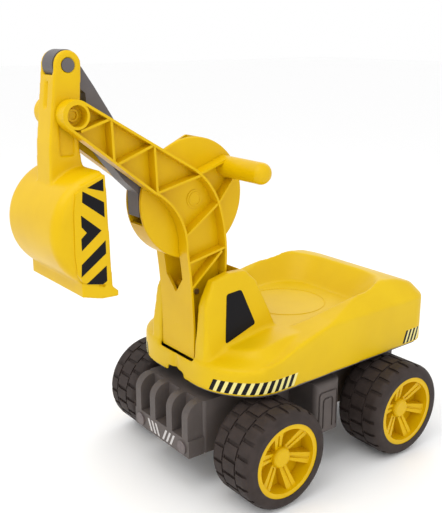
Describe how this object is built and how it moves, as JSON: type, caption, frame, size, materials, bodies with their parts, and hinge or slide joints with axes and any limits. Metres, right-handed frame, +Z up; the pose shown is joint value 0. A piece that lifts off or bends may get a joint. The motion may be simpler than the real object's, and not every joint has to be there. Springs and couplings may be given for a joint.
{
  "type": "toy excavator",
  "caption": "Ride-on toy excavator with a turning seat body, hinged boom and a bucket arm worked by a crank drum and link.",
  "frame": {"origin": "centre of the bounding box on the ground, under the middle of the toy's length and width", "axes": "+X forward, the side the bucket is on; +Y towards the toy's left side; +Z up"},
  "size_m": [0.564, 0.33, 0.5675],
  "materials": {
    "yellow_plastic": "satin moulded polyethylene",
    "dark_plastic": "matt moulded polypropylene",
    "grey_plastic": "matt moulded polypropylene",
    "tyre": "soft moulded tyre",
    "lamp_lens": "gloss",
    "window_film": "gloss film",
    "zinc_steel": "zinc plated"
  },
  "bodies": {
    "chassis": {"chassis_frame": "dark_plastic", "lamps_front": "lamp_lens", "lamps_rear": "lamp_lens", "axle_front": "zinc_steel", "axle_rear": "zinc_steel", "push_nuts": "zinc_steel", "turntable_ring": "dark_plastic", "kingpin": "zinc_steel", "kingpin_washer": "zinc_steel", "kingpin_nut": "zinc_steel"},
    "upper": {"body_shell": "yellow_plastic", "body_floor": "grey_plastic", "floor_screws": "zinc_steel", "cab_window_left": "window_film", "cab_window_right": "window_film", "foot_pin": "grey_plastic"},
    "boom": {"boom_half_left": "yellow_plastic", "boom_half_right": "yellow_plastic", "boom_screws": "zinc_steel", "elbow_pin": "yellow_plastic", "tip_pin": "yellow_plastic"},
    "drum": {"drum_half_left": "yellow_plastic", "drum_half_right": "yellow_plastic", "bucket_lever": "yellow_plastic"},
    "arm": {"bucket_arm": "yellow_plastic", "link_pin": "grey_plastic"},
    "link": {"link": "grey_plastic", "crank_pin": "grey_plastic"},
    "wheel_front_left": {"tyre_front_left": "tyre", "rim_front_left": "yellow_plastic", "hub_cap_front_left": "yellow_plastic"},
    "wheel_front_right": {"tyre_front_right": "tyre", "rim_front_right": "yellow_plastic", "hub_cap_front_right": "yellow_plastic"},
    "wheel_rear_left": {"tyre_rear_left": "tyre", "rim_rear_left": "yellow_plastic", "hub_cap_rear_left": "yellow_plastic"},
    "wheel_rear_right": {"tyre_rear_right": "tyre", "rim_rear_right": "yellow_plastic", "hub_cap_rear_right": "yellow_plastic"}
  },
  "joints": [
    {"name": "front_left_wheel_spin", "type": "hinge", "parent": "chassis", "child": "wheel_front_left", "pos_m": [0.031, 0.128, 0.0675], "axis": [0, 1, 0], "continuous": true},
    {"name": "front_right_wheel_spin", "type": "hinge", "parent": "chassis", "child": "wheel_front_right", "pos_m": [0.031, -0.128, 0.0675], "axis": [0, 1, 0], "continuous": true},
    {"name": "rear_left_wheel_spin", "type": "hinge", "parent": "chassis", "child": "wheel_rear_left", "pos_m": [-0.195, 0.128, 0.0675], "axis": [0, 1, 0], "continuous": true},
    {"name": "rear_right_wheel_spin", "type": "hinge", "parent": "chassis", "child": "wheel_rear_right", "pos_m": [-0.195, -0.128, 0.0675], "axis": [0, 1, 0], "continuous": true},
    {"name": "upper_swivel", "type": "hinge", "parent": "chassis", "child": "upper", "pos_m": [-0.082, 0, 0.141], "axis": [0, 0, 1], "continuous": true},
    {"name": "boom_lift", "type": "hinge", "parent": "upper", "child": "boom", "pos_m": [0.05, 0, 0.209], "axis": [0, 1, 0], "range_deg": [-12, 55]},
    {"name": "bucket_crank", "type": "hinge", "parent": "boom", "child": "drum", "pos_m": [0.069, 0, 0.384], "axis": [0, 1, 0], "range_deg": [-7, 45]},
    {"name": "bucket_tilt", "type": "hinge", "parent": "boom", "child": "arm", "pos_m": [0.233, 0, 0.498], "axis": [0, 1, 0], "range_deg": [-57, 9]},
    {"name": "link_swing", "type": "hinge", "parent": "arm", "child": "link", "pos_m": [0.232, 0, 0.551], "axis": [0, 1, 0], "range_deg": [-7.5, 46.5]}
  ],
  "couplings": [
    {"joint": "bucket_tilt", "follows": "bucket_crank", "ratio": -1.263},
    {"joint": "link_swing", "follows": "bucket_crank", "ratio": 1.023}
  ]
}
